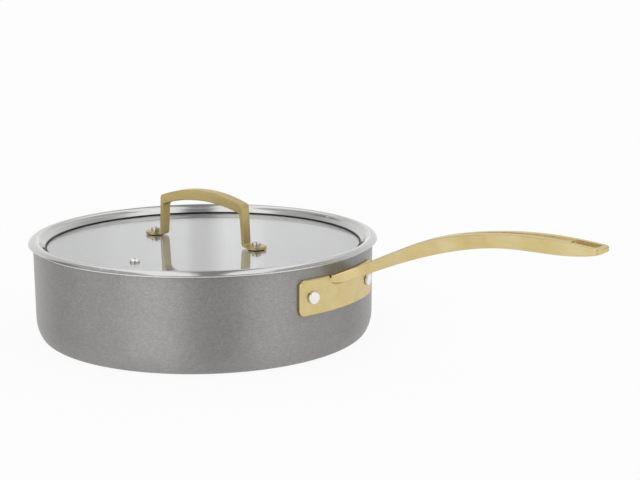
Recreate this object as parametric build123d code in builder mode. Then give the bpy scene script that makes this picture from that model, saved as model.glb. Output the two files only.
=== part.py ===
from build123d import *
import math
import os

os.makedirs("parts", exist_ok=True)

# Saute pan with lid. Lengths in millimetres, angles in degrees.
# Origin at the centre of the pan's underside, +X along the long handle, +Z up.

# Pan wall and base
base_flat_radius = 123.0
small_bend_radius = 6.75
large_bend_radius = 27.4
bend_change_angle = 62.5
wall_lean_angle = 0.2
rim_height = 72.0
shell_thickness = 2.4
bond_gap = 0.1
liner_thickness = 0.8
lip_thickness = 0.8
lip_overhang = 0.4
lip_rounding = 0.3
shell_rim_rounding = 0.8
base_plate_margin = 27.0
base_plate_thickness = 1.2
base_plate_clearance = 0.1
base_plate_chamfer = 0.3

# Long handle: the plate that hugs the wall
plate_half_angle = 19.9
plate_rim_distance = 7.8
plate_height = 26.8
plate_thickness = 2.5
plate_seat_gap = 0.1
plate_corner_radius = 4.8
plate_edge_chamfer = 0.7

# Long handle: the fan and the bar
fan_root_inset = 5.4
fan_root_half_width = 21.0
fan_root_depth = 10.1
fan_half_width = 17.6
fan_flat_half_width = 9.0
fan_end_rise = 6.3
fan_relief_drop = 0.4
fan_relief_length = 28.0
bar_length = 199.8
bar_end_rise = 41.8
bar_end_thickness = 3.2
bar_end_half_width = 9.3
bar_end_rounding = 4.6
bar_edge_rounding = 0.7

# Shares of the bar's length, out from the plate's face, each with a share of the
# end's rise above the plate's top, or of the end's half width
bar_top_shares = [
    (0.0414, 0.0885),
    (0.1070, 0.2320),
    (0.1776, 0.3971),
    (0.2533, 0.5670),
    (0.3441, 0.7536),
    (0.4435, 0.8900),
    (0.5610, 0.9952),
    (0.6720, 1.0526),
    (0.7830, 1.0694),
    (0.8940, 1.0478),
]
bar_bottom_shares = [
    (0.8688, 0.8380),
    (0.7614, 0.8330),
    (0.6468, 0.8158),
    (0.5156, 0.7153),
    (0.3794, 0.5359),
    (0.2583, 0.3301),
    (0.1423, 0.1005),
]
bar_side_shares = [
    (0.0262, 1.527),
    (0.0641, 1.172),
    (0.1171, 0.946),
    (0.2280, 0.828),
    (0.5055, 0.828),
    (0.7074, 0.925),
    (0.8335, 0.989),
]

# Long handle: notches beside the fan, top groove and hanging slot
notch_width = 1.3
notch_depth = 2.0
groove_half_width = 4.4
groove_depth = 0.8
slot_length = 19.5
slot_end_distance = 4.0
slot_width = 10.6
slot_rounding = 2.4

# Rivets of the long handle
rivet_angle = 15.0
rivet_shank_radius = 3.0
rivet_hole_clearance = 0.1
rivet_head_radius = 4.7
rivet_head_height = 2.3
rivet_inner_radius = 5.5
rivet_inner_height = 2.0
rivet_crown_rounding = 1.0
rivet_seat_gap = 0.3

# Lid: glass, seal and steel ring
glass_drop = 2.6
glass_thickness = 4.0
glass_edge_chamfer = 0.4
seal_thickness = 0.7
seal_width = 4.4
seal_under_width = 3.0
lid_clearance = 1.1
ring_sheet = 0.8
ring_overhang = 3.3
ring_edge_rise = 1.2
ring_crest_inset = 3.0
ring_crest_rise = 3.6
ring_brow_inset = 6.7
ring_brow_rise = 0.6
ring_foot_inset = 3.1
ring_hem_bulge = 2.0
ring_hem_rise = 0.5
ring_seat_gap = 0.2

# Lid: vent eyelet
vent_angle = -86.4
vent_edge_distance = 40.9
vent_bore_radius = 1.3
vent_tube_radius = 2.3
vent_clearance = 0.1
vent_flange_radius = 3.8
vent_flange_height = 2.2
vent_rounding = 1.6

# Lid handle: an arched strap with two round feet
foot_reach = 8.7
foot_radius = 7.8
foot_thickness = 1.8
foot_washer_radius = 6.6
foot_washer_thickness = 0.6
arch_top = 41.0
arch_end_height = 33.2
arch_depth = 8.2
arch_end_depth = 6.6
leg_top_thickness = 3.0
leg_foot_half_span = 43.1
leg_splay = 1.4
leg_foot_thickness = 2.4
strap_half_width = 4.4
strap_outer_bend = 3.0
strap_inner_bend = 3.2
strap_foot_bend = 3.0
strap_foot_inner_bend = 1.2
strap_edge_rounding = 0.6

# Screws, sleeves, washers and nuts of the lid handle
screw_shank_radius = 2.0
screw_clearance = 0.1
screw_head_radius = 3.5
screw_head_height = 3.0
screw_head_rounding = 0.9
screw_drive_width = 1.0
screw_drive_depth = 1.2
screw_tip_length = 1.4
screw_tip_chamfer = 0.4
sleeve_wall = 1.4
sleeve_clearance = 0.1
under_washer_radius = 6.0
under_washer_thickness = 1.0
nut_flat_radius = 3.5
nut_thickness = 3.2
nut_chamfer = 0.4

# How far a cutter passes the face that it cuts
overrun = 2.0


def turn(length, angle):
    """The point at a length along an angle that is counted from straight down."""
    return Vector(
        length * math.sin(math.radians(angle)),
        -length * math.cos(math.radians(angle)),
    )


small_centre = Vector(base_flat_radius, small_bend_radius)
large_centre = small_centre + turn(small_bend_radius - large_bend_radius, bend_change_angle)
wall_angle = 90 - wall_lean_angle
wall_slope = math.tan(math.radians(wall_lean_angle))


def wall_radius(height, inset):
    """Radius of the pan's straight wall at a height, moved inwards by inset."""
    foot = large_centre + turn(large_bend_radius - inset, wall_angle)
    return foot.X + (height - foot.Y) * wall_slope


def draw_pan_outline(inset, top):
    """Closed half outline of the pan, moved inwards by inset and cut off at top."""
    small = small_bend_radius - inset
    large = large_bend_radius - inset
    start = Vector(base_flat_radius, inset)
    middle = small_centre + turn(small, bend_change_angle)
    end = large_centre + turn(large, wall_angle)
    Polyline((0, top), (0, inset), start)
    ThreePointArc(start, small_centre + turn(small, bend_change_angle / 2), middle)
    half_turn = (bend_change_angle + wall_angle) / 2
    ThreePointArc(middle, large_centre + turn(large, half_turn), end)
    Polyline(end, (wall_radius(top, inset), top), (0, top))


def radial_plane(azimuth, height):
    """Plane through the pan's axis at a height, looking outwards at an azimuth."""
    angle = math.radians(azimuth)
    return Plane(
        origin=(0, 0, height),
        x_dir=(-math.sin(angle), math.cos(angle), 0),
        z_dir=(math.cos(angle), math.sin(angle), 0),
    )


def section_plane(azimuth):
    """Upright plane through the pan's axis, with its first direction at an azimuth."""
    angle = math.radians(azimuth)
    return Plane(
        origin=(0, 0, 0),
        x_dir=(math.cos(angle), math.sin(angle), 0),
        z_dir=(math.sin(angle), -math.cos(angle), 0),
    )


def outer_corners(corners):
    """The outermost corners of a half outline's lowest and highest edges."""
    levels = corners.group_by(Axis.Y)
    return [levels[0].sort_by(Axis.X)[-1], levels[-1].sort_by(Axis.X)[-1]]


# Radii and levels of the pan
liner_inset = shell_thickness + bond_gap
inside_inset = liner_inset + liner_thickness
lip_top = rim_height + lip_thickness
lip_radius = wall_radius(rim_height, 0) + lip_overhang
base_plate_radius = base_flat_radius - base_plate_margin

# Levels of the handle's plate, and radii of its inner and outer faces
plate_top = rim_height - plate_rim_distance
plate_bottom = plate_top - plate_height
plate_inner_top = wall_radius(plate_top, -plate_seat_gap)
plate_inner_bottom = wall_radius(plate_bottom, -plate_seat_gap)
fan_face = plate_inner_top + plate_thickness

# Rivets, midway up the plate
rivet_height = (plate_top + plate_bottom) / 2
rivet_angles = (-rivet_angle, rivet_angle)
rivet_planes = [radial_plane(azimuth, rivet_height) for azimuth in rivet_angles]
rivet_hole_radius = rivet_shank_radius + rivet_hole_clearance

# A cut this long passes everything
reach = fan_face + bar_length + overrun

# Outer shell of the pan
with BuildPart() as pan_outer_shell:
    with BuildSketch(Plane.XZ):
        with BuildLine():
            draw_pan_outline(0, rim_height)
        make_face()
        with BuildLine():
            draw_pan_outline(shell_thickness, rim_height + overrun)
        make_face(mode=Mode.SUBTRACT)
    revolve(axis=Axis.Z)
    rim_edges = pan_outer_shell.edges().group_by(Axis.Z)[-1]
    fillet(rim_edges.sort_by(SortBy.LENGTH)[-1], shell_rim_rounding)
    with BuildSketch(Plane.XY):
        Circle(base_plate_radius + base_plate_clearance)
    extrude(amount=base_plate_thickness, mode=Mode.SUBTRACT)
    for plane in rivet_planes:
        with BuildSketch(plane):
            Circle(rivet_hole_radius)
        extrude(amount=reach, mode=Mode.SUBTRACT)
pan_outer_shell.part.label = "pan_outer_shell"
export_step(pan_outer_shell.part, "parts/pan_outer_shell.step")

# Steel liner of the pan, with the lip that covers the rim
with BuildPart() as pan_inner_liner:
    with BuildSketch(Plane.XZ):
        with BuildLine():
            draw_pan_outline(liner_inset, lip_top)
        make_face()
        with Locations((lip_radius / 2, rim_height)):
            Rectangle(lip_radius, lip_thickness, align=(Align.CENTER, Align.MIN))
        with BuildLine():
            draw_pan_outline(inside_inset, lip_top + overrun)
        make_face(mode=Mode.SUBTRACT)
    revolve(axis=Axis.Z)
    top_edges = pan_inner_liner.edges().group_by(Axis.Z)[-1]
    fillet(top_edges, lip_rounding)
    for plane in rivet_planes:
        with BuildSketch(plane):
            Circle(rivet_hole_radius)
        extrude(amount=reach, mode=Mode.SUBTRACT)
pan_inner_liner.part.label = "pan_inner_liner"
export_step(pan_inner_liner.part, "parts/pan_inner_liner.step")

# Steel disc let into the underside
with BuildPart() as base_plate:
    with BuildSketch(Plane.XY):
        Circle(base_plate_radius)
    extrude(amount=base_plate_thickness)
    chamfer(base_plate.edges().group_by(Axis.Z)[0], base_plate_chamfer)
base_plate.part.label = "base_plate"
export_step(base_plate.part, "parts/base_plate.step")


def bar_points(shares, start, size):
    """Points out from the plate's face, with their second shares of size above start."""
    return [(fan_face + out * bar_length, start + share * size) for out, share in shares]


# Long handle, one casting of plate, fan and bar
fan_root = fan_face - fan_root_inset
fan_low = plate_top - fan_root_depth
bar_end = fan_face + bar_length
bar_end_top = plate_top + bar_end_rise
bar_end_bottom = bar_end_top - bar_end_thickness
bar_top_line = bar_points(bar_top_shares, plate_top, bar_end_rise)
bar_bottom_line = bar_points(bar_bottom_shares, plate_top, bar_end_rise)
bar_side_line = bar_points(bar_side_shares, 0, bar_end_half_width)
bar_low_start = bar_bottom_line[-1]
fan_slope = (bar_low_start[1] - fan_low) / (bar_low_start[0] - fan_root)

# The plate, wrapped round the wall
with BuildPart() as handle_plate:
    with BuildSketch(section_plane(-plate_half_angle)):
        with BuildLine():
            Polyline(
                (plate_inner_bottom, plate_bottom),
                (plate_inner_bottom + plate_thickness, plate_bottom),
                (fan_face, plate_top),
                (plate_inner_top, plate_top),
                close=True,
            )
        make_face()
    revolve(axis=Axis.Z, revolution_arc=2 * plate_half_angle)
    corners = handle_plate.edges().filter_by(GeomType.LINE)
    fillet(corners.filter_by(Plane.XY), plate_corner_radius)
    outer_face = handle_plate.faces().filter_by(GeomType.CONE).sort_by(SortBy.AREA)[-1]
    chamfer(outer_face.edges(), plate_edge_chamfer)

# What is taken off under the two ends of the fan
relief_plane = Plane(
    origin=(fan_root, 0, fan_low - fan_relief_drop),
    x_dir=(0, 1, 0),
    z_dir=(1, 0, 0),
)
with BuildPart() as fan_relief:
    with BuildSketch(relief_plane):
        with BuildLine():
            low = (fan_flat_half_width, 0)
            high = (fan_half_width + overrun, fan_end_rise)
            past = fan_root_half_width + overrun
            TangentArc(low, high, tangent=(1, 0))
            Polyline(high, (past, fan_end_rise + overrun), (past, -plate_height))
            Polyline((past, -plate_height), (fan_flat_half_width, -plate_height), low)
        make_face()
        mirror(about=Plane.YZ)
    extrude(amount=fan_relief_length, dir=(1, 0, fan_slope))

# The pan's wall with the plate's seat gap, which cuts the fan's root
with BuildPart() as wall_core:
    with BuildSketch(Plane.XZ):
        with BuildLine():
            core_top = plate_top + overrun
            Polyline(
                (0, plate_bottom),
                (plate_inner_bottom, plate_bottom),
                (wall_radius(core_top, -plate_seat_gap), core_top),
                (0, core_top),
                close=True,
            )
        make_face()
    revolve(axis=Axis.Z)

# Shallow groove that widens towards the hanging slot
groove_start, *groove_line = bar_top_line[-5:]
groove_floor = [(out, height - groove_depth) for out, height in groove_line]
groove_end = groove_floor[-1]
with BuildPart() as groove_cutter:
    with BuildSketch(Plane.XZ):
        with BuildLine():
            Spline(groove_start, *groove_floor)
            groove_lid = groove_end[1] + groove_half_width
            Polyline(groove_end, (groove_end[0], groove_lid), (groove_start[0], groove_lid), groove_start)
        make_face()
    extrude(amount=groove_half_width, both=True)
    with BuildSketch(Plane.XY):
        with BuildLine():
            Polyline(
                (groove_start[0], 0),
                (groove_end[0], -groove_half_width),
                (groove_end[0], groove_half_width),
                close=True,
            )
        make_face()
    extrude(amount=reach, mode=Mode.INTERSECT)

with BuildPart() as long_handle:
    # Side line of fan and bar
    with BuildSketch(Plane.XZ):
        with BuildLine():
            top_start = (fan_face, plate_top)
            Line((fan_root, plate_top), top_start)
            Spline(top_start, *bar_top_line, (bar_end, bar_end_top))
            Line((bar_end, bar_end_top), (bar_end, bar_end_bottom))
            Spline((bar_end, bar_end_bottom), *bar_bottom_line, (fan_root, fan_low))
            Line((fan_root, fan_low), (fan_root, plate_top))
        make_face()
    extrude(amount=fan_root_half_width, both=True)
    # Plan of fan and bar
    with BuildSketch(Plane.XY):
        with BuildLine():
            fan_corner = (fan_root, fan_root_half_width)
            end_corner = (bar_end, bar_end_half_width)
            Line((fan_root, 0), fan_corner)
            Spline(fan_corner, *bar_side_line, end_corner)
            Line(end_corner, (bar_end, 0))
            mirror(about=Plane.XZ)
        make_face()
        fillet(vertices().group_by(Axis.X)[-1], bar_end_rounding)
    extrude(amount=reach, mode=Mode.INTERSECT)
    long_edges = long_handle.edges().filter_by(lambda edge: edge.length > bar_length / 2)
    fillet(long_edges, bar_edge_rounding)
    add(fan_relief.part, mode=Mode.SUBTRACT)
    add(wall_core.part, mode=Mode.SUBTRACT)
    add(handle_plate.part)
    add(groove_cutter.part, mode=Mode.SUBTRACT)
    # Hanging slot
    with BuildSketch(Plane.XY):
        with Locations((bar_end - slot_end_distance - slot_length / 2, 0)):
            RectangleRounded(slot_length, slot_width, slot_rounding)
    extrude(amount=reach, mode=Mode.SUBTRACT)
    # Notches at the two ends of the fan
    notch_angle = math.degrees(math.asin((fan_half_width + notch_width / 2) / fan_face))
    for azimuth in (-notch_angle, notch_angle):
        with BuildSketch(radial_plane(azimuth, plate_top)):
            Rectangle(notch_width, 2 * notch_depth)
        extrude(amount=reach, mode=Mode.SUBTRACT)
    # Rivet holes
    for plane in rivet_planes:
        with BuildSketch(plane):
            Circle(rivet_hole_radius)
        extrude(amount=reach, mode=Mode.SUBTRACT)
long_handle.part.label = "long_handle"
export_step(long_handle.part, "parts/long_handle.step")

# Rivets with their heads outside and inside the pan
rivet_inner_face = wall_radius(rivet_height, inside_inset) - rivet_seat_gap
rivet_outer_face = wall_radius(rivet_height, -plate_seat_gap) + plate_thickness + rivet_seat_gap
rivet_length = rivet_outer_face - rivet_inner_face
with BuildPart() as rivet:
    with BuildSketch(Plane.XZ):
        with Locations((0, rivet_inner_face)):
            Rectangle(rivet_shank_radius, rivet_length, align=Align.MIN)
            with Locations((0, -rivet_inner_height)):
                Rectangle(rivet_inner_radius, rivet_inner_height, align=Align.MIN)
        with Locations((0, rivet_outer_face)):
            Rectangle(rivet_head_radius, rivet_head_height, align=Align.MIN)
        fillet(outer_corners(vertices()), rivet_crown_rounding)
    revolve(axis=Axis.Z)
with BuildPart() as handle_rivets:
    with Locations(*rivet_planes):
        add(rivet.part)
handle_rivets.part.label = "handle_rivets"
export_step(handle_rivets.part, "parts/handle_rivets.step")

# Levels, radii and holes of the lid, from the pan's lip and the room inside its wall
glass_top = lip_top - glass_drop
glass_bottom = glass_top - glass_thickness
seal_top = glass_top + seal_thickness
seal_bottom = glass_bottom - seal_thickness
ledge_low = seal_bottom - ring_sheet
ring_wall_radius = wall_radius(ledge_low, inside_inset) - lid_clearance
seal_outer_radius = ring_wall_radius - ring_sheet
glass_radius = seal_outer_radius - seal_thickness
seal_inner_radius = glass_radius - seal_width
seal_under_radius = glass_radius - seal_under_width
flange_low = lip_top + ring_seat_gap
screw_hole_radius = screw_shank_radius + screw_clearance
sleeve_radius = screw_hole_radius + sleeve_wall
foot_pitch = leg_foot_half_span + foot_reach
screw_places = [(-foot_pitch, 0), (foot_pitch, 0)]
vent_distance = glass_radius - vent_edge_distance
vent_x = vent_distance * math.cos(math.radians(vent_angle))
vent_y = vent_distance * math.sin(math.radians(vent_angle))

# Flat glass of the lid
with BuildPart() as lid_glass:
    with BuildSketch(Plane.XY.offset(glass_bottom)):
        Circle(glass_radius)
        with Locations(*screw_places):
            Circle(sleeve_radius + sleeve_clearance, mode=Mode.SUBTRACT)
        with Locations((vent_x, vent_y)):
            Circle(vent_tube_radius + vent_clearance, mode=Mode.SUBTRACT)
    extrude(amount=glass_thickness)
    rim_edges = lid_glass.edges().filter_by(lambda edge: edge.length > glass_radius)
    chamfer(rim_edges.filter_by(GeomType.CIRCLE), glass_edge_chamfer)
lid_glass.part.label = "lid_glass"
export_step(lid_glass.part, "parts/lid_glass.step")

# Dark seal that wraps the edge of the glass
with BuildPart() as glass_seal:
    with BuildSketch(Plane.XZ):
        with BuildLine():
            Polyline(
                (seal_inner_radius, glass_top),
                (seal_inner_radius, seal_top),
                (seal_outer_radius, seal_top),
                (seal_outer_radius, seal_bottom),
                (seal_under_radius, seal_bottom),
                (seal_under_radius, glass_bottom),
                (glass_radius, glass_bottom),
                (glass_radius, glass_top),
                close=True,
            )
        make_face()
    revolve(axis=Axis.Z)
glass_seal.part.label = "glass_seal"
export_step(glass_seal.part, "parts/glass_seal.step")

# Steel ring, one bent sheet from the ledge under the glass to the foot on top of it
ring_edge = (lip_radius + ring_overhang, lip_top + ring_edge_rise)
ring_crest = (lip_radius - ring_crest_inset, lip_top + ring_crest_rise)
ring_brow = (lip_radius - ring_brow_inset, lip_top + ring_brow_rise)
ring_hem = (lip_radius + ring_hem_bulge, lip_top + ring_hem_rise)
ring_foot_radius = glass_radius - ring_foot_inset
foot_slope = (ring_brow[1] - seal_top) / (ring_brow[0] - ring_foot_radius)
foot_past = (ring_foot_radius - overrun, seal_top - overrun * foot_slope)
ledge_end = (seal_under_radius, ledge_low)
with BuildPart() as lid_ring:
    with BuildSketch(Plane.XZ):
        with BuildLine():
            hem_start = (lip_radius, flange_low)
            Polyline(ledge_end, (ring_wall_radius, ledge_low), (ring_wall_radius, flange_low), hem_start)
            ThreePointArc(hem_start, ring_hem, ring_edge)
            ThreePointArc(ring_edge, ring_crest, ring_brow)
            Polyline(ring_brow, foot_past, ledge_end)
        make_face()
        offset(amount=-ring_sheet, mode=Mode.SUBTRACT)
        with Locations((glass_radius / 2, seal_bottom)):
            Rectangle(
                seal_outer_radius - glass_radius / 2,
                seal_top - seal_bottom,
                align=Align.MIN,
                mode=Mode.SUBTRACT,
            )
    revolve(axis=Axis.Z)
lid_ring.part.label = "lid_ring"
export_step(lid_ring.part, "parts/lid_ring.step")

# Vent eyelet, a tube with a rounded flange above and below the glass
vent_low = glass_bottom - vent_flange_height
vent_length = glass_thickness + 2 * vent_flange_height
vent_flange_width = vent_flange_radius - vent_bore_radius
with BuildPart() as vent_eyelet:
    with BuildSketch(Plane.XZ):
        with Locations((vent_bore_radius, vent_low)):
            Rectangle(vent_tube_radius - vent_bore_radius, vent_length, align=Align.MIN)
        with Locations((vent_bore_radius, vent_low), (vent_bore_radius, glass_top)):
            Rectangle(vent_flange_width, vent_flange_height, align=Align.MIN)
        fillet(outer_corners(vertices()), vent_rounding)
    revolve(axis=Axis.Z)
vent_eyelet = vent_eyelet.part.moved(Location((vent_x, vent_y, 0)))
vent_eyelet.label = "vent_eyelet"
export_step(vent_eyelet, "parts/vent_eyelet.step")

# Lid handle, an arched strap whose legs bend outwards into round feet
foot_low = glass_top + foot_washer_thickness
foot_high = foot_low + foot_thickness
arch_end = glass_top + arch_end_height
arch_half_span = leg_foot_half_span - leg_splay
with BuildPart() as lid_handle:
    with BuildSketch(Plane.XZ):
        with BuildLine():
            crown = (0, glass_top + arch_top)
            corner = (arch_half_span, arch_end)
            TangentArc(crown, corner, tangent=(1, 0))
            Polyline(corner, (leg_foot_half_span, foot_high), (foot_pitch, foot_high))
            Polyline((foot_pitch, foot_high), (foot_pitch, foot_low))
            heel = (leg_foot_half_span - leg_foot_thickness, foot_low)
            inner_corner = (arch_half_span - leg_top_thickness, arch_end - arch_end_depth)
            Polyline((foot_pitch, foot_low), heel, inner_corner)
            inner_crown = (0, glass_top + arch_top - arch_depth)
            TangentArc(inner_crown, inner_corner, tangent=(1, 0))
            Line(inner_crown, crown)
        make_face()
        bends = [
            (corner, strap_outer_bend),
            (inner_corner, strap_inner_bend),
            (heel, strap_foot_bend),
            ((leg_foot_half_span, foot_high), strap_foot_inner_bend),
        ]
        for place, radius in bends:
            fillet(vertices().sort_by_distance(Vector(*place))[0], radius)
        mirror(about=Plane.YZ)
    extrude(amount=strap_half_width, both=True)
    sides = lid_handle.faces().filter_by(Axis.Y)
    fillet(sides.edges(), strap_edge_rounding)
    with Locations(*[Location((x, y, foot_low)) for x, y in screw_places]):
        Cylinder(foot_radius, foot_thickness, align=(Align.CENTER, Align.CENTER, Align.MIN))
        Hole(screw_hole_radius)
lid_handle.part.label = "lid_handle"
export_step(lid_handle.part, "parts/lid_handle.step")

# Screws with a rounded head and a cross drive, from above the feet to below the nuts
under_washer_low = glass_bottom - under_washer_thickness
nut_low = under_washer_low - nut_thickness
screw_low = nut_low - screw_tip_length
with BuildPart() as screw:
    with BuildSketch(Plane.XZ):
        with Locations((0, screw_low)):
            Rectangle(screw_shank_radius, foot_high - screw_low, align=Align.MIN)
        with Locations((0, foot_high)):
            Rectangle(screw_head_radius, screw_head_height, align=Align.MIN)
        tip, head = outer_corners(vertices())
        chamfer(tip, screw_tip_chamfer)
        fillet(head, screw_head_rounding)
    revolve(axis=Axis.Z)
    with BuildSketch(Plane.XY.offset(foot_high + screw_head_height)):
        Rectangle(screw_head_radius, screw_drive_width)
        Rectangle(screw_drive_width, screw_head_radius)
    extrude(amount=-screw_drive_depth, mode=Mode.SUBTRACT)
with BuildPart() as handle_screws:
    with Locations(*screw_places):
        add(screw.part)
handle_screws.part.label = "handle_screws"
export_step(handle_screws.part, "parts/handle_screws.step")

# Soft washers between the feet and the glass
with BuildPart() as foot_washers:
    with BuildSketch(Plane.XY.offset(glass_top)):
        with Locations(*screw_places):
            Circle(foot_washer_radius)
            Circle(screw_hole_radius, mode=Mode.SUBTRACT)
    extrude(amount=foot_washer_thickness)
foot_washers.part.label = "foot_washers"
export_step(foot_washers.part, "parts/foot_washers.step")

# Soft sleeves that line the two holes in the glass
with BuildPart() as glass_sleeves:
    with BuildSketch(Plane.XY.offset(glass_bottom)):
        with Locations(*screw_places):
            Circle(sleeve_radius)
            Circle(screw_hole_radius, mode=Mode.SUBTRACT)
    extrude(amount=glass_thickness)
glass_sleeves.part.label = "glass_sleeves"
export_step(glass_sleeves.part, "parts/glass_sleeves.step")

# Steel washers under the glass
with BuildPart() as under_washers:
    with BuildSketch(Plane.XY.offset(under_washer_low)):
        with Locations(*screw_places):
            Circle(under_washer_radius)
            Circle(screw_hole_radius, mode=Mode.SUBTRACT)
    extrude(amount=under_washer_thickness)
under_washers.part.label = "under_washers"
export_step(under_washers.part, "parts/under_washers.step")

# Six-sided nuts
with BuildPart() as screw_nuts:
    with BuildSketch(Plane.XY.offset(nut_low)):
        with Locations(*screw_places):
            RegularPolygon(nut_flat_radius, 6, major_radius=False)
            Circle(screw_hole_radius, mode=Mode.SUBTRACT)
    extrude(amount=nut_thickness)
    corner_edges = screw_nuts.edges().group_by(Axis.Z)[0].filter_by(GeomType.LINE)
    chamfer(corner_edges, nut_chamfer)
screw_nuts.part.label = "screw_nuts"
export_step(screw_nuts.part, "parts/screw_nuts.step")
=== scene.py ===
import math

import bpy
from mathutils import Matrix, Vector

# Materials, floor, studio light and camera for the saute pan with lid.
# Lengths in metres, angles in degrees, and noise scales in cells per metre.

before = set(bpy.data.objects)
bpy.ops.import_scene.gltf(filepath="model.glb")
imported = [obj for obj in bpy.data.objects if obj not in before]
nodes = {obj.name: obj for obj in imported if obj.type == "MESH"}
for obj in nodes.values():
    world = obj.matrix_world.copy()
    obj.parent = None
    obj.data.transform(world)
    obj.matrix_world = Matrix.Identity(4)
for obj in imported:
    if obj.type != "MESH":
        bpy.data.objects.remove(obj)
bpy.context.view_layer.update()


# Node helpers

def new_material(name):
    """A material with an empty tree, and its Principled shader already joined to the output."""
    material = bpy.data.materials.new(name)
    material.use_nodes = True
    tree = material.node_tree
    tree.nodes.clear()
    output = tree.nodes.new("ShaderNodeOutputMaterial")
    shader = tree.nodes.new("ShaderNodeBsdfPrincipled")
    tree.links.new(shader.outputs["BSDF"], output.inputs["Surface"])
    return material, tree, shader


def joined(tree, operation, first, second):
    """A maths node over two values, each a socket or a number."""
    node = tree.nodes.new("ShaderNodeMath")
    node.operation = operation
    for socket, value in zip(node.inputs, (first, second)):
        if isinstance(value, (int, float)):
            socket.default_value = value
        else:
            tree.links.new(value, socket)
    return node.outputs["Value"]


def weighed(tree, start, parts):
    """The sum of start and of each (value, weight) pair in parts."""
    total = start
    for value, weight in parts:
        total = joined(tree, "ADD", total, joined(tree, "MULTIPLY", value, weight))
    return total


def spread(tree, value, low, high, from_low=0.3, from_high=0.7):
    """A value from from_low to from_high, moved to the range low to high."""
    node = tree.nodes.new("ShaderNodeMapRange")
    node.inputs["From Min"].default_value = from_low
    node.inputs["From Max"].default_value = from_high
    node.inputs["To Min"].default_value = low
    node.inputs["To Max"].default_value = high
    tree.links.new(value, node.inputs["Value"])
    return node.outputs["Result"]


def ramp(tree, value, stops):
    """Colours laid over a value, as (position, colour) stops."""
    node = tree.nodes.new("ShaderNodeValToRGB")
    while len(node.color_ramp.elements) < len(stops):
        node.color_ramp.elements.new(0.5)
    for element, (position, colour) in zip(node.color_ramp.elements, stops):
        element.position = position
        element.color = (*colour, 1)
    tree.links.new(value, node.inputs["Fac"])
    return node.outputs["Color"]


def between(dark, light):
    """Ramp stops from a dark to a light colour, over the range that noise mostly fills."""
    return [(0.3, dark), (0.7, light)]


def place_of(tree, scale=(1, 1, 1)):
    """Object coordinates, stretched by scale."""
    coords = tree.nodes.new("ShaderNodeTexCoord")
    mapping = tree.nodes.new("ShaderNodeMapping")
    mapping.inputs["Scale"].default_value = scale
    tree.links.new(coords.outputs["Object"], mapping.inputs["Vector"])
    return mapping.outputs["Vector"]


def ring_place(tree):
    """Coordinates (radius, 0, height) of a turned piece, so that noise makes fine rings."""
    coords = tree.nodes.new("ShaderNodeTexCoord")
    split = tree.nodes.new("ShaderNodeSeparateXYZ")
    tree.links.new(coords.outputs["Object"], split.inputs["Vector"])
    flat = tree.nodes.new("ShaderNodeCombineXYZ")
    tree.links.new(split.outputs["X"], flat.inputs["X"])
    tree.links.new(split.outputs["Y"], flat.inputs["Y"])
    radius = tree.nodes.new("ShaderNodeVectorMath")
    radius.operation = "LENGTH"
    tree.links.new(flat.outputs["Vector"], radius.inputs[0])
    place = tree.nodes.new("ShaderNodeCombineXYZ")
    tree.links.new(radius.outputs["Value"], place.inputs["X"])
    tree.links.new(split.outputs["Z"], place.inputs["Z"])
    return place.outputs["Vector"]


def noise(tree, place, scale, detail=3.0, rough=0.55):
    node = tree.nodes.new("ShaderNodeTexNoise")
    node.inputs["Scale"].default_value = scale
    node.inputs["Detail"].default_value = detail
    node.inputs["Roughness"].default_value = rough
    tree.links.new(place, node.inputs["Vector"])
    return node.outputs["Fac"]


def bump(tree, shader, height, strength, distance):
    node = tree.nodes.new("ShaderNodeBump")
    node.inputs["Strength"].default_value = strength
    node.inputs["Distance"].default_value = distance
    tree.links.new(height, node.inputs["Height"])
    tree.links.new(node.outputs["Normal"], shader.inputs["Normal"])


def spread_across_rings(tree, shader, amount):
    """Stretch the gloss across the grooves that turning left round the upright axis."""
    quarter_turn = 0.25
    shader.inputs["Anisotropic"].default_value = amount
    shader.inputs["Anisotropic Rotation"].default_value = quarter_turn
    around = tree.nodes.new("ShaderNodeTangent")
    around.direction_type = "RADIAL"
    around.axis = "Z"
    tree.links.new(around.outputs["Tangent"], shader.inputs["Tangent"])


def seen_share(tree):
    """1 for what the camera sees, also through glass."""
    path = tree.nodes.new("ShaderNodeLightPath")
    seen = path.outputs["Is Camera Ray"]
    return joined(tree, "MAXIMUM", seen, path.outputs["Is Transmission Ray"])


# Materials

def anodised_grey():
    """Hard-anodised metal: neutral grey with a fine light and dark speckle."""
    material, tree, shader = new_material("anodised_grey")
    place = place_of(tree)
    speckle = noise(tree, place, scale=1100, detail=3.0, rough=0.7)
    patch = noise(tree, place, scale=60, detail=4.0, rough=0.6)
    mottle = noise(tree, place_of(tree, (1, 1, 1.8)), scale=330, detail=3.0, rough=0.6)
    scratch = noise(tree, place_of(tree, (1, 1, 2.5)), scale=260, detail=5.0, rough=0.75)
    fleck = spread(tree, scratch, 0.0, 0.5, from_low=0.64, from_high=0.76)
    grains = [(speckle, 1.15), (patch, 0.45), (mottle, 0.55)]
    # Each grain averages a half, and this start makes their sum do so too
    start = 0.5 - sum(weight for grain, weight in grains) / 2
    shade = weighed(tree, start, grains + [(fleck, 1.0)])
    colour = ramp(tree, shade, [
        (0.18, (0.310, 0.304, 0.300)),
        (0.50, (0.378, 0.371, 0.367)),
        (0.85, (0.480, 0.472, 0.466)),
    ])
    tree.links.new(colour, shader.inputs["Base Color"])
    shader.inputs["Metallic"].default_value = 0.85
    tree.links.new(spread(tree, patch, 0.46, 0.52), shader.inputs["Roughness"])
    spread_across_rings(tree, shader, 0.9)
    bump(tree, shader, speckle, strength=0.06, distance=0.00006)
    return material


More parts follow.
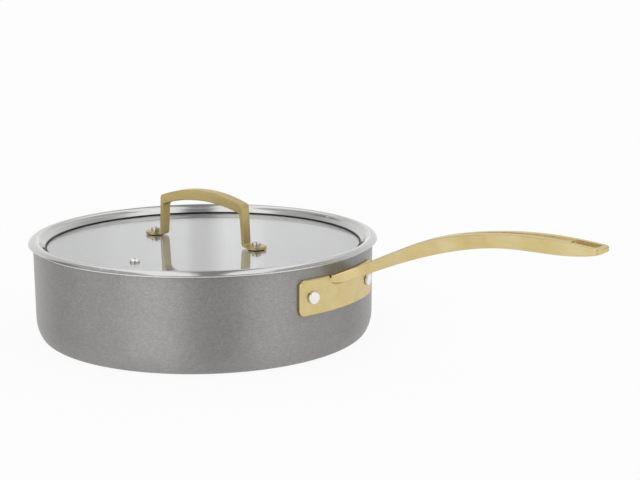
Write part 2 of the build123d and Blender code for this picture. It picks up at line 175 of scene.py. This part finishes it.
def turned_steel(name, colours, smooth, rough, line_scale=2600, grooved=0.0, metal=1.0):
    """Steel with the fine rings that turning and polishing leave, smooth to rough in clouds."""
    material, tree, shader = new_material(name)
    rings = noise(tree, ring_place(tree), line_scale, detail=2.0, rough=0.5)
    cloud = noise(tree, place_of(tree), scale=35, detail=3.0, rough=0.5)
    tree.links.new(ramp(tree, rings, between(*colours)), shader.inputs["Base Color"])
    shader.inputs["Metallic"].default_value = metal
    tree.links.new(spread(tree, cloud, smooth, rough), shader.inputs["Roughness"])
    bump(tree, shader, rings, strength=0.05, distance=0.00005)
    if grooved:
        spread_across_rings(tree, shader, grooved)
    return material


def satin_brass(name, stretch, colours):
    """Satin brass, with fine brush lines along one direction and cloudy wear."""
    material, tree, shader = new_material(name)
    lines = noise(tree, place_of(tree, stretch), scale=900, detail=3.0, rough=0.6)
    cloud = noise(tree, place_of(tree), scale=45, detail=4.0, rough=0.6)
    shade = weighed(tree, spread(tree, cloud, 0.0, 0.55), [(lines, 0.45)])
    tree.links.new(ramp(tree, shade, colours), shader.inputs["Base Color"])
    shader.inputs["Metallic"].default_value = 1.0
    tree.links.new(spread(tree, cloud, 0.30, 0.42), shader.inputs["Roughness"])
    bump(tree, shader, lines, strength=0.12, distance=0.00008)
    return material


def clear_glass():
    """Tempered glass with faint wiping marks in its gloss."""
    material, tree, shader = new_material("glass")
    smear = noise(tree, place_of(tree), scale=18, detail=4.0, rough=0.6)
    shader.inputs["Base Color"].default_value = (0.975, 0.985, 0.99, 1)
    tree.links.new(spread(tree, smear, 0.0, 0.025), shader.inputs["Roughness"])
    shader.inputs["Transmission Weight"].default_value = 1.0
    shader.inputs["IOR"].default_value = 1.52
    return material


def soft_black(name):
    """Dark silicone with a dull, slightly uneven surface."""
    material, tree, shader = new_material(name)
    grain = noise(tree, place_of(tree), scale=700, detail=2.0)
    colours = between((0.012, 0.012, 0.013), (0.03, 0.03, 0.032))
    tree.links.new(ramp(tree, grain, colours), shader.inputs["Base Color"])
    tree.links.new(spread(tree, grain, 0.45, 0.6), shader.inputs["Roughness"])
    bump(tree, shader, grain, strength=0.1, distance=0.0001)
    return material


# Colours, from dark to light
handle_colours = [
    (0.15, (0.645, 0.510, 0.222)),
    (0.50, (0.710, 0.580, 0.285)),
    (0.90, (0.780, 0.665, 0.385)),
]
lid_handle_colours = [
    (0.15, (0.545, 0.426, 0.168)),
    (0.50, (0.600, 0.476, 0.208)),
    (0.90, (0.670, 0.550, 0.268)),
]
liner_pair = ((0.88, 0.88, 0.87), (0.93, 0.93, 0.92))
base_pair = ((0.66, 0.66, 0.65), (0.74, 0.74, 0.73))
bright_pair = ((0.59, 0.59, 0.58), (0.67, 0.67, 0.66))
rivet_pair = ((0.87, 0.86, 0.85), (0.94, 0.93, 0.92))

# How far the noise is drawn out along X, Y and Z, where a small share makes long lines
long_handle_stretch = (0.04, 1, 1)
lid_handle_stretch = (0.06, 1, 0.3)

liner_steel = turned_steel(
    "liner_steel", liner_pair, 0.42, 0.50, line_scale=1500, grooved=0.7, metal=0.7
)
base_steel = turned_steel("base_steel", base_pair, 0.25, 0.35, line_scale=1200)
ring_steel = turned_steel("ring_steel", bright_pair, 0.07, 0.12)
small_steel = turned_steel("small_steel", bright_pair, 0.16, 0.24)
rivet_steel = turned_steel("rivet_steel", rivet_pair, 0.28, 0.36)
black = soft_black("seal_black")
finishes = {
    "pan_outer_shell": anodised_grey(),
    "pan_inner_liner": liner_steel,
    "base_plate": base_steel,
    "long_handle": satin_brass("handle_brass", long_handle_stretch, handle_colours),
    "handle_rivets": rivet_steel,
    "lid_glass": clear_glass(),
    "glass_seal": black,
    "lid_ring": ring_steel,
    "vent_eyelet": rivet_steel,
    "lid_handle": satin_brass("lid_handle_brass", lid_handle_stretch, lid_handle_colours),
    "handle_screws": small_steel,
    "foot_washers": black,
    "glass_sleeves": black,
    "under_washers": small_steel,
    "screw_nuts": small_steel,
}
for name, material in finishes.items():
    data = nodes[name].data
    data.materials.clear()
    data.materials.append(material)


# Floor, with the share of even white in it to the camera and in reflections
floor_radius = 40.0
floor_corners = 96
floor_drop = 0.0003
floor_grey = 0.86
seen_glow = 0.92
mirrored_glow = 0.70


def make_floor():
    """A plain pale floor that stays white to the camera but keeps the object's shadow."""
    mesh = bpy.data.meshes.new("floor")
    turns = [2 * math.pi * corner / floor_corners for corner in range(floor_corners)]
    rim = [
        (floor_radius * math.cos(turn), floor_radius * math.sin(turn), -floor_drop)
        for turn in turns
    ]
    mesh.from_pydata(rim, [], [list(range(floor_corners))])
    floor = bpy.data.objects.new("floor", mesh)
    bpy.context.scene.collection.objects.link(floor)
    material, tree, shader = new_material("floor_white")
    shader.inputs["Base Color"].default_value = (floor_grey, floor_grey, floor_grey, 1)
    shader.inputs["Roughness"].default_value = 0.9
    shader.inputs["Specular IOR Level"].default_value = 0.1
    glow = tree.nodes.new("ShaderNodeEmission")
    glow.inputs["Color"].default_value = (1, 1, 1, 1)
    path = tree.nodes.new("ShaderNodeLightPath")
    seen = joined(tree, "MULTIPLY", seen_share(tree), seen_glow)
    mirrored = joined(tree, "MULTIPLY", path.outputs["Is Glossy Ray"], mirrored_glow)
    mix = tree.nodes.new("ShaderNodeMixShader")
    output = next(node for node in tree.nodes if node.type == "OUTPUT_MATERIAL")
    tree.links.new(joined(tree, "MAXIMUM", seen, mirrored), mix.inputs["Fac"])
    tree.links.new(shader.outputs["BSDF"], mix.inputs[1])
    tree.links.new(glow.outputs["Emission"], mix.inputs[2])
    tree.links.new(mix.outputs["Shader"], output.inputs["Surface"])
    mesh.materials.append(material)


make_floor()


# Studio light, a pale room with brighter and darker stretches round the object
camera_side = -49.5
room_light = 0.90
least_light = 0.03

# A panel stands round the object: azimuth from the camera's side, half width, soft edge,
# lowest and highest elevation, and what it adds to the room's light. The ends of its
# height are soft by a sine.
panel_softness = 0.12
panels = [
    (8, 8, 18, -90, 48, -0.87),
    (-36, 8, 18, -90, 52, 1.40),
    (46, 6, 18, -90, 52, 0.90),
    (-76, 8, 14, -90, 40, 0.25),
    (-112, 8, 14, -90, 40, -0.55),
    (80, 6, 14, -90, 40, 0.30),
    (112, 10, 12, -90, 14, -0.60),
    (180, 40, 40, -90, 24, 0.18),
    (175.4, 1.6, 1.2, -90, 20, 0.12),
    (178.5, 0.5, 1.0, -90, 20, 0.34),
    (179.95, 0.2, 0.8, -90, 20, -0.27),
    (181.4, 0.3, 0.8, -90, 20, 0.14),
    (183.0, 0.6, 1.0, -90, 20, 0.12),
]

# A strip hangs over the object and runs from front to back: left and right edge, as sines
# of the angle to the side, and what it adds to the room's light. All strips fade in
# between two sines of the elevation, and between two sines of the angle past the zenith,
# which are below zero on the camera's side.
strip_softness = 0.035
strip_foot = (0.50, 0.76)
strip_front = (-0.65, -0.40)
strips = [
    (-0.05, 0.13, -0.52),
    (-0.42, -0.08, 0.55),
    (0.16, 0.45, 0.50),
    (-1.0, -0.46, -0.25),
    (0.50, 1.0, -0.25),
]


def direction(azimuth, elevation):
    """Unit vector; azimuth 0 points along +X and turns towards +Y."""
    turn = math.radians(azimuth)
    rise = math.radians(elevation)
    level = math.cos(rise)
    return (math.cos(turn) * level, math.sin(turn) * level, math.sin(rise))


def sine(angle):
    return math.sin(math.radians(angle))


def cosine(angle):
    return math.cos(math.radians(angle))


def along(tree, vector, axis):
    """How far a vector reaches along an axis."""
    node = tree.nodes.new("ShaderNodeVectorMath")
    node.operation = "DOT_PRODUCT"
    node.inputs[1].default_value = axis
    tree.links.new(vector, node.inputs[0])
    return node.outputs["Value"]


def step(tree, value, low, high):
    """Rises softly from 0 at low to 1 at high, or falls where low is above high."""
    node = tree.nodes.new("ShaderNodeMapRange")
    node.interpolation_type = "SMOOTHSTEP"
    node.inputs["From Min"].default_value = min(low, high)
    node.inputs["From Max"].default_value = max(low, high)
    node.inputs["To Min"].default_value = 0.0 if low < high else 1.0
    node.inputs["To Max"].default_value = 1.0 if low < high else 0.0
    tree.links.new(value, node.inputs["Value"])
    return node.outputs["Result"]


def window(tree, value, low, high, soft):
    """1 between low and high, with soft edges."""
    rise = step(tree, value, low - soft, low + soft)
    fall = step(tree, value, high + soft, high - soft)
    return joined(tree, "MULTIPLY", rise, fall)


def level_part(tree, vector):
    """The vector's direction as seen from above, with length 1."""
    flat = tree.nodes.new("ShaderNodeVectorMath")
    flat.operation = "MULTIPLY"
    flat.inputs[1].default_value = (1, 1, 0)
    tree.links.new(vector, flat.inputs[0])
    unit = tree.nodes.new("ShaderNodeVectorMath")
    unit.operation = "NORMALIZE"
    tree.links.new(flat.outputs["Vector"], unit.inputs[0])
    return unit.outputs["Vector"]


def make_world():
    """The room's light for the object, and plain white for what the camera sees."""
    world = bpy.data.worlds.new("studio")
    world.use_nodes = True
    tree = world.node_tree
    tree.nodes.clear()
    coords = tree.nodes.new("ShaderNodeTexCoord").outputs["Generated"]
    level = level_part(tree, coords)
    rise = along(tree, coords, direction(0, 90))
    side = along(tree, coords, direction(camera_side + 90, 0))
    behind = along(tree, coords, direction(camera_side + 180, 0))
    parts = []
    for azimuth, half, soft, low, high, change in panels:
        turn = along(tree, level, direction(camera_side + azimuth, 0))
        across = step(tree, turn, cosine(half + soft), cosine(half))
        upright = window(tree, rise, sine(low), sine(high), panel_softness)
        parts.append((joined(tree, "MULTIPLY", across, upright), change))
    high_up = step(tree, rise, *strip_foot)
    past_front = step(tree, behind, *strip_front)
    overhead = joined(tree, "MULTIPLY", high_up, past_front)
    for left, right, change in strips:
        across = window(tree, side, left, right, strip_softness)
        parts.append((joined(tree, "MULTIPLY", across, overhead), change))
    strength = joined(tree, "MAXIMUM", weighed(tree, room_light, parts), least_light)
    lit = tree.nodes.new("ShaderNodeBackground")
    tree.links.new(strength, lit.inputs["Strength"])
    seen = tree.nodes.new("ShaderNodeBackground")
    seen.inputs["Color"].default_value = (1, 1, 1, 1)
    mix = tree.nodes.new("ShaderNodeMixShader")
    output = tree.nodes.new("ShaderNodeOutputWorld")
    tree.links.new(seen_share(tree), mix.inputs["Fac"])
    tree.links.new(lit.outputs["Background"], mix.inputs[1])
    tree.links.new(seen.outputs["Background"], mix.inputs[2])
    tree.links.new(mix.outputs["Shader"], output.inputs["Surface"])
    bpy.context.scene.world = world


make_world()


# Camera, solved from the ellipses of the ring, the glass and the base
camera_place = (0.65355, -0.76549, 0.27964)
look_azimuth = 125.3
look_down = 11.754
focal_pixels = 1298.4
photo_width = 640


def make_camera():
    data = bpy.data.cameras.new("camera")
    data.sensor_fit = "HORIZONTAL"
    data.sensor_width = 36.0
    data.lens = focal_pixels / photo_width * data.sensor_width
    data.clip_start = 0.05
    data.clip_end = 200.0
    camera = bpy.data.objects.new("camera", data)
    bpy.context.scene.collection.objects.link(camera)
    camera.location = camera_place
    look = Vector(direction(look_azimuth, -look_down))
    camera.rotation_mode = "QUATERNION"
    camera.rotation_quaternion = look.to_track_quat("-Z", "Y")
    bpy.context.scene.camera = camera


make_camera()
bpy.context.scene.view_settings.view_transform = "Standard"
